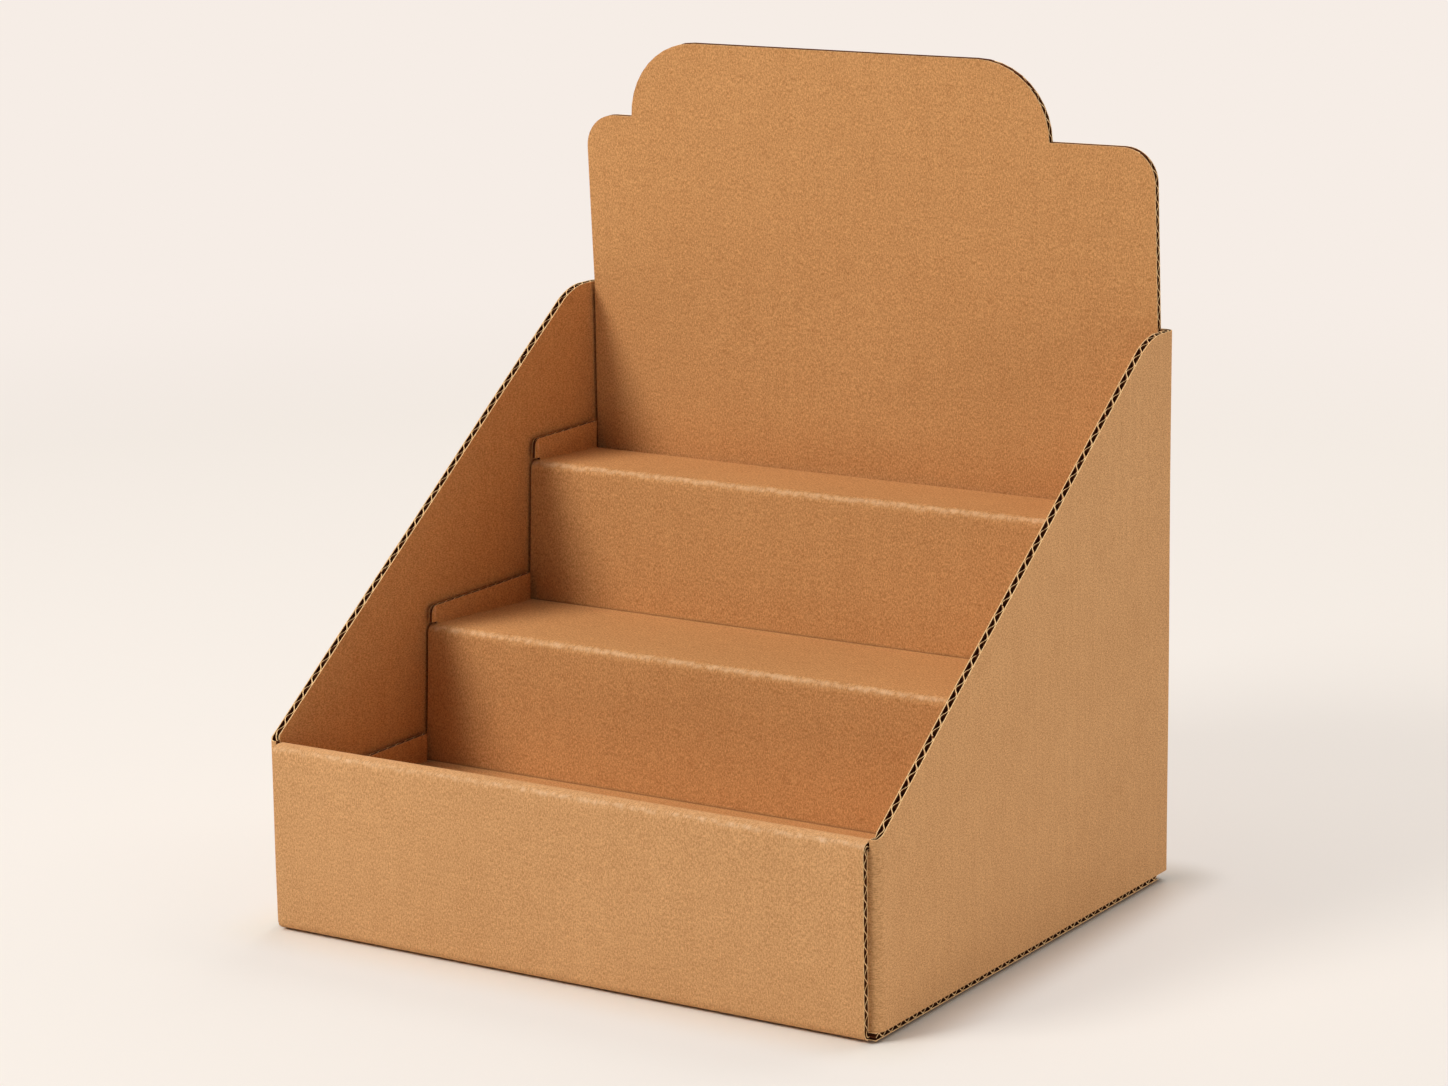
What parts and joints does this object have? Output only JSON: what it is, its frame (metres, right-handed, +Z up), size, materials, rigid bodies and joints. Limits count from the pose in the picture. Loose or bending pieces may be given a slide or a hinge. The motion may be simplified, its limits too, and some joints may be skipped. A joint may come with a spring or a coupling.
{
  "type": "corrugated display box",
  "caption": "Open corrugated counter display box with a roll-over front, sloping side walls, a stepped insert with side flanges and a raised header.",
  "frame": {"origin": "on the floor, at the middle of the box's overall width and depth", "axes": "+Z up, the front panel faces -Y, +X to the right seen from the front"},
  "size_m": [0.3, 0.257, 0.357],
  "materials": {
    "outer_blank": "uncoated brown kraft liner, matt, with open flutes at the cut edges",
    "left_side_wall": "uncoated brown kraft liner, matt, with open flutes at the cut edges",
    "right_side_wall": "uncoated brown kraft liner, matt, with open flutes at the cut edges",
    "stair_insert": "uncoated brown kraft liner, matt, with open flutes at the cut edges"
  },
  "bodies": {
    "root": {"outer_blank": "outer_blank", "left_side_wall": "left_side_wall", "right_side_wall": "right_side_wall", "stair_insert": "stair_insert"}
  },
  "joints": []
}
